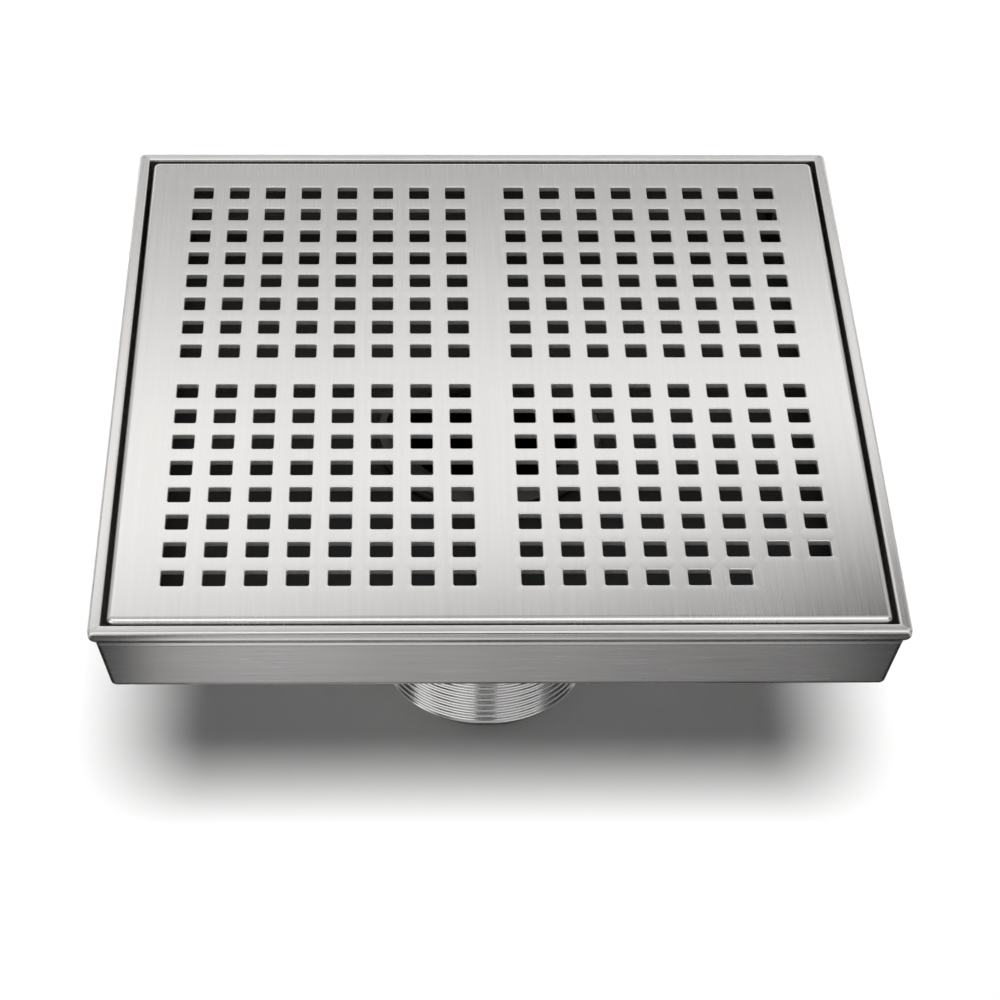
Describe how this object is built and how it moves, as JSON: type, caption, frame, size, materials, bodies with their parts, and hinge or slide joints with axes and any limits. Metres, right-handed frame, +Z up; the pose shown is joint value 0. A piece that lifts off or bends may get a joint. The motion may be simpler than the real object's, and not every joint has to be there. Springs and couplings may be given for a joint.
{
  "type": "square shower floor drain",
  "caption": "Square shower drain: tapered steel pan with a threaded outlet, lift-out grate with square holes, and a hair strainer with a bail handle.",
  "frame": {"origin": "centre of the outlet pipe's lower end, which is the middle of the whole drain's base", "axes": "+Z up out of the grate, +X to the right and +Y to the rear, square with the rim; the plain corner without holes is front right"},
  "size_m": [0.201, 0.201, 0.107],
  "materials": {
    "pan_steel": "brushed along each wall",
    "grate_steel": "fine satin brushing",
    "outlet_steel": "bright turned thread",
    "strainer_steel": "pressed and tumbled",
    "rubber": "matt moulded"
  },
  "bodies": {
    "pan": {"pan_wall_front": "pan_steel", "pan_wall_rear": "pan_steel", "pan_wall_left": "pan_steel", "pan_wall_right": "pan_steel", "pan_floor": "pan_steel", "outlet_nipple": "outlet_steel"},
    "grate": {"grate_cover": "grate_steel", "grate_rib_long": "grate_steel", "grate_rib_short_front": "grate_steel", "grate_rib_short_rear": "grate_steel", "grate_leg_front_left": "grate_steel", "grate_leg_front_right": "grate_steel", "grate_leg_rear_left": "grate_steel", "grate_leg_rear_right": "grate_steel", "grate_foot_front_left": "rubber", "grate_foot_front_right": "rubber", "grate_foot_rear_left": "rubber", "grate_foot_rear_right": "rubber"},
    "strainer": {"strainer_basket": "strainer_steel", "strainer_gasket": "rubber", "strainer_handle": "strainer_steel"}
  },
  "joints": [
    {"name": "grate_lift", "type": "slide", "parent": "pan", "child": "grate", "axis": [0, 0, 1], "range_m": [0, 0.12]},
    {"name": "strainer_lift", "type": "slide", "parent": "pan", "child": "strainer", "axis": [0, 0, 1], "range_m": [0, 0.06]}
  ],
  "couplings": [
    {"joint": "strainer_lift", "follows": "grate_lift", "ratio": 0.5}
  ]
}
